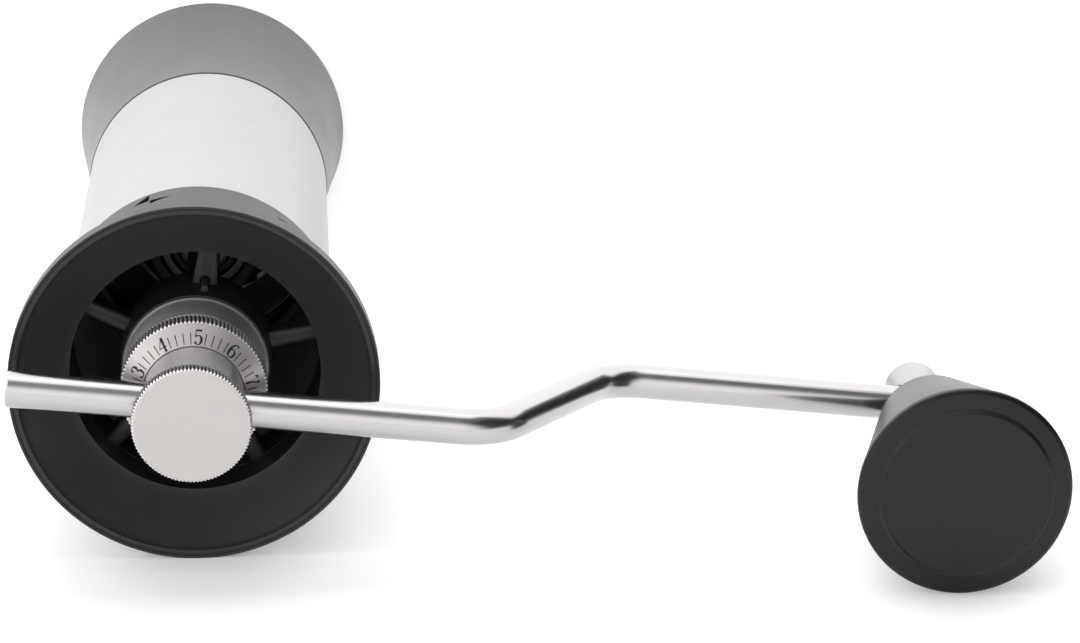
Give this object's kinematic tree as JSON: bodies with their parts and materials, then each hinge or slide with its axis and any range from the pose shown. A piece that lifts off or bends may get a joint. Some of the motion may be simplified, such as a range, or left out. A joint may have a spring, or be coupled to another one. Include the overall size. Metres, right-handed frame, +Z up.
{
  "type": "hand coffee grinder",
  "caption": "Upright hand coffee grinder: flared catch cup, steel tube with conical burrs, open funnel, numbered adjustment dial and an S-bent side crank with a conical knob.",
  "frame": {"origin": "centre of the flat underside of the catch cup", "axes": "+Z up along the grinding axis, +X along the crank bar towards the knob at rest"},
  "size_m": [0.2336, 0.0822, 0.2522],
  "materials": {
    "cup_black": "satin moulded plastic, lit grey along its flare",
    "shell_black": "fine matt moulded plastic",
    "tube_steel": "stainless, fine brushing along the tube",
    "bar_steel": "stainless round bar, drawn along its length",
    "dial_steel": "turned stainless, satin, with filled black numbers",
    "hub_steel": "turned stainless, satin",
    "cap_steel": "bead-blasted face, knurled edge",
    "sleeve_steel": "turned steel",
    "burr_steel": "hardened steel, machined flutes",
    "bearing_steel": "ground bearing steel",
    "alloy": "machined aluminium",
    "bronze": "plain bearing bronze",
    "knob_black": "satin moulded plastic with a fine texture",
    "seal_rubber": "black nitrile",
    "nylon": "natural nylon"
  },
  "bodies": {
    "catch_cup": {"catch_cup": "cup_black"},
    "housing": {"body_tube": "tube_steel", "spider_collar": "shell_black", "funnel": "shell_black", "index_pin": "shell_black", "bearing_sleeve": "sleeve_steel", "bearing_circlip": "bearing_steel", "burr_carrier": "alloy", "cup_o_ring": "seal_rubber", "ring_burr": "burr_steel", "burr_retaining_ring": "alloy", "lower_bridge": "shell_black", "preload_spring": "bearing_steel", "lower_bearing_outer_race": "bearing_steel", "lower_bearing_cage": "bronze", "upper_bearing_outer_race": "bearing_steel", "upper_bearing_cage": "bronze"},
    "spring_seat": {"spring_seat": "bearing_steel"},
    "drive": {"drive_shaft": "bearing_steel", "cone_burr": "burr_steel", "burr_washer": "bearing_steel", "burr_bolt": "bearing_steel", "crank_hub": "hub_steel", "hub_pin": "bearing_steel"},
    "inner_races": {"lower_bearing_inner_race": "bearing_steel", "upper_bearing_inner_race": "bearing_steel", "dial_spacer": "bronze"},
    "dial": {"adjustment_dial": "dial_steel"},
    "clamp_washer": {"clamp_washer": "nylon"},
    "lock_cap": {"lock_cap": "cap_steel"},
    "crank": {"crank_bar": "bar_steel", "knob_ferrule": "bar_steel", "knob_bolt": "bearing_steel", "knob_washer": "nylon"},
    "knob": {"knob_body": "knob_black", "knob_cap": "knob_black", "knob_bush_lower": "bronze", "knob_bush_upper": "bronze"}
  },
  "joints": [
    {"name": "cup_pull", "type": "slide", "parent": "catch_cup", "child": "housing", "axis": [0, 0, 1], "range_m": [0, 0.065]},
    {"name": "burr_lift", "type": "slide", "parent": "housing", "child": "spring_seat", "axis": [0, 0, 1], "range_m": [-0.0005, 0.0005], "deforming": ["preload_spring"]},
    {"name": "crank_turn", "type": "hinge", "parent": "spring_seat", "child": "drive", "pos_m": [0, 0, 0.1], "axis": [0, 0, 1], "continuous": true},
    {"name": "race_hold", "type": "slide", "parent": "drive", "child": "inner_races", "axis": [0, 0, 1], "range_m": [-0.0005, 0.0005]},
    {"name": "dial_turn", "type": "hinge", "parent": "inner_races", "child": "dial", "pos_m": [0, 0, 0.2198], "axis": [0, 0, 1], "range_deg": [-180, 180]},
    {"name": "cap_lift", "type": "slide", "parent": "drive", "child": "clamp_washer", "axis": [0, 0, 1], "range_m": [0, 0.002]},
    {"name": "cap_turn", "type": "hinge", "parent": "clamp_washer", "child": "lock_cap", "pos_m": [0, 0, 0.2442], "axis": [0, 0, 1], "range_deg": [0, 720]},
    {"name": "bar_slide", "type": "slide", "parent": "drive", "child": "crank", "axis": [1, 0, 0], "range_m": [-0.02, 0.02]},
    {"name": "knob_spin", "type": "hinge", "parent": "crank", "child": "knob", "pos_m": [0.1688, 0, 0.2048], "axis": [0, 0, 1], "continuous": true}
  ],
  "couplings": [
    {"joint": "dial_turn", "follows": "burr_lift", "rad_per_m": -6283.2},
    {"joint": "race_hold", "follows": "burr_lift", "ratio": -1},
    {"joint": "cap_lift", "follows": "cap_turn", "m_per_rad": 0.00015915}
  ]
}
